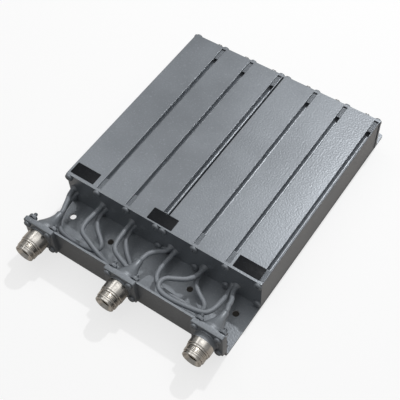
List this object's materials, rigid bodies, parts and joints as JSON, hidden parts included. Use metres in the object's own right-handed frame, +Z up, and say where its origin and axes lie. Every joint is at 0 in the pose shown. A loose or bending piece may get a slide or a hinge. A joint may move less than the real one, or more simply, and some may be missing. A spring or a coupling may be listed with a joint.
{
  "type": "cavity duplexer",
  "caption": "Grey-painted coaxial cavity duplexer: extruded cavities on a folded tray, with threaded panel jacks, jumper cables in an open front bay and tuning screws at the rear.",
  "frame": {"origin": "centre of the four mounting holes, on the underside of the tray", "axes": "+X along the front from the left port to the right port, +Y from the ports towards the tuning screws, +Z up out of the tray"},
  "size_m": [0.1682, 0.244, 0.0325],
  "materials": {
    "grey_paint": "semi-gloss sprayed enamel with a fine orange peel",
    "nickel_plate": "tarnished nickel plate",
    "white_insulator": "turned fluoropolymer",
    "contact_metal": "gold flash",
    "plated_brass": "silver plate",
    "bright_plate": "bright nickel plate",
    "black_tape": "embossing tape"
  },
  "bodies": {
    "chassis": {"tray": "grey_paint", "front_plate": "grey_paint", "rear_plate": "grey_paint", "front_plate_screws": "grey_paint", "rear_plate_screws": "grey_paint", "tray_screws": "bright_plate", "flange_screws": "grey_paint", "flange_nuts": "grey_paint", "cavity_block_left": "grey_paint", "cavity_block_right": "grey_paint", "connector_shell_left": "nickel_plate", "connector_insulator_left": "white_insulator", "connector_contact_left": "contact_metal", "cable_hood_left": "grey_paint", "connector_shell_middle": "nickel_plate", "connector_insulator_middle": "white_insulator", "connector_contact_middle": "contact_metal", "cable_hood_middle": "grey_paint", "connector_shell_right": "nickel_plate", "connector_insulator_right": "white_insulator", "connector_contact_right": "contact_metal", "cable_hood_right": "grey_paint", "resonator_rod_1": "plated_brass", "coupling_loop_1": "plated_brass", "lock_nut_1": "bright_plate", "resonator_rod_2": "plated_brass", "coupling_loop_2": "plated_brass", "lock_nut_2": "bright_plate", "resonator_rod_3": "plated_brass", "coupling_loop_3": "plated_brass", "lock_nut_3": "bright_plate", "resonator_rod_4": "plated_brass", "coupling_loop_4": "plated_brass", "lock_nut_4": "bright_plate", "resonator_rod_5": "plated_brass", "coupling_loop_5": "plated_brass", "lock_nut_5": "bright_plate", "resonator_rod_6": "plated_brass", "coupling_loop_6": "plated_brass", "lock_nut_6": "bright_plate", "jumper_left_port_to_cavity_1": "grey_paint", "jumper_cavity_1_to_2": "grey_paint", "jumper_cavity_2_to_3": "grey_paint", "jumper_cavity_3_to_middle_port": "grey_paint", "jumper_middle_port_to_cavity_4": "grey_paint", "jumper_cavity_4_to_5": "grey_paint", "jumper_cavity_5_to_6": "grey_paint", "jumper_cavity_6_to_right_port": "grey_paint"},
    "tuner_1": {"tuning_screw_1": "bright_plate"},
    "tuner_2": {"tuning_screw_2": "bright_plate"},
    "tuner_3": {"tuning_screw_3": "bright_plate"},
    "tuner_4": {"tuning_screw_4": "bright_plate"},
    "tuner_5": {"tuning_screw_5": "bright_plate"},
    "tuner_6": {"tuning_screw_6": "bright_plate"}
  },
  "joints": [
    {"name": "tuner_1_travel", "type": "slide", "parent": "chassis", "child": "tuner_1", "axis": [0, 1, 0], "range_m": [-0.006, 0.006]},
    {"name": "tuner_2_travel", "type": "slide", "parent": "chassis", "child": "tuner_2", "axis": [0, 1, 0], "range_m": [-0.006, 0.006]},
    {"name": "tuner_3_travel", "type": "slide", "parent": "chassis", "child": "tuner_3", "axis": [0, 1, 0], "range_m": [-0.006, 0.006]},
    {"name": "tuner_4_travel", "type": "slide", "parent": "chassis", "child": "tuner_4", "axis": [0, 1, 0], "range_m": [-0.006, 0.006]},
    {"name": "tuner_5_travel", "type": "slide", "parent": "chassis", "child": "tuner_5", "axis": [0, 1, 0], "range_m": [-0.006, 0.006]},
    {"name": "tuner_6_travel", "type": "slide", "parent": "chassis", "child": "tuner_6", "axis": [0, 1, 0], "range_m": [-0.006, 0.006]}
  ]
}
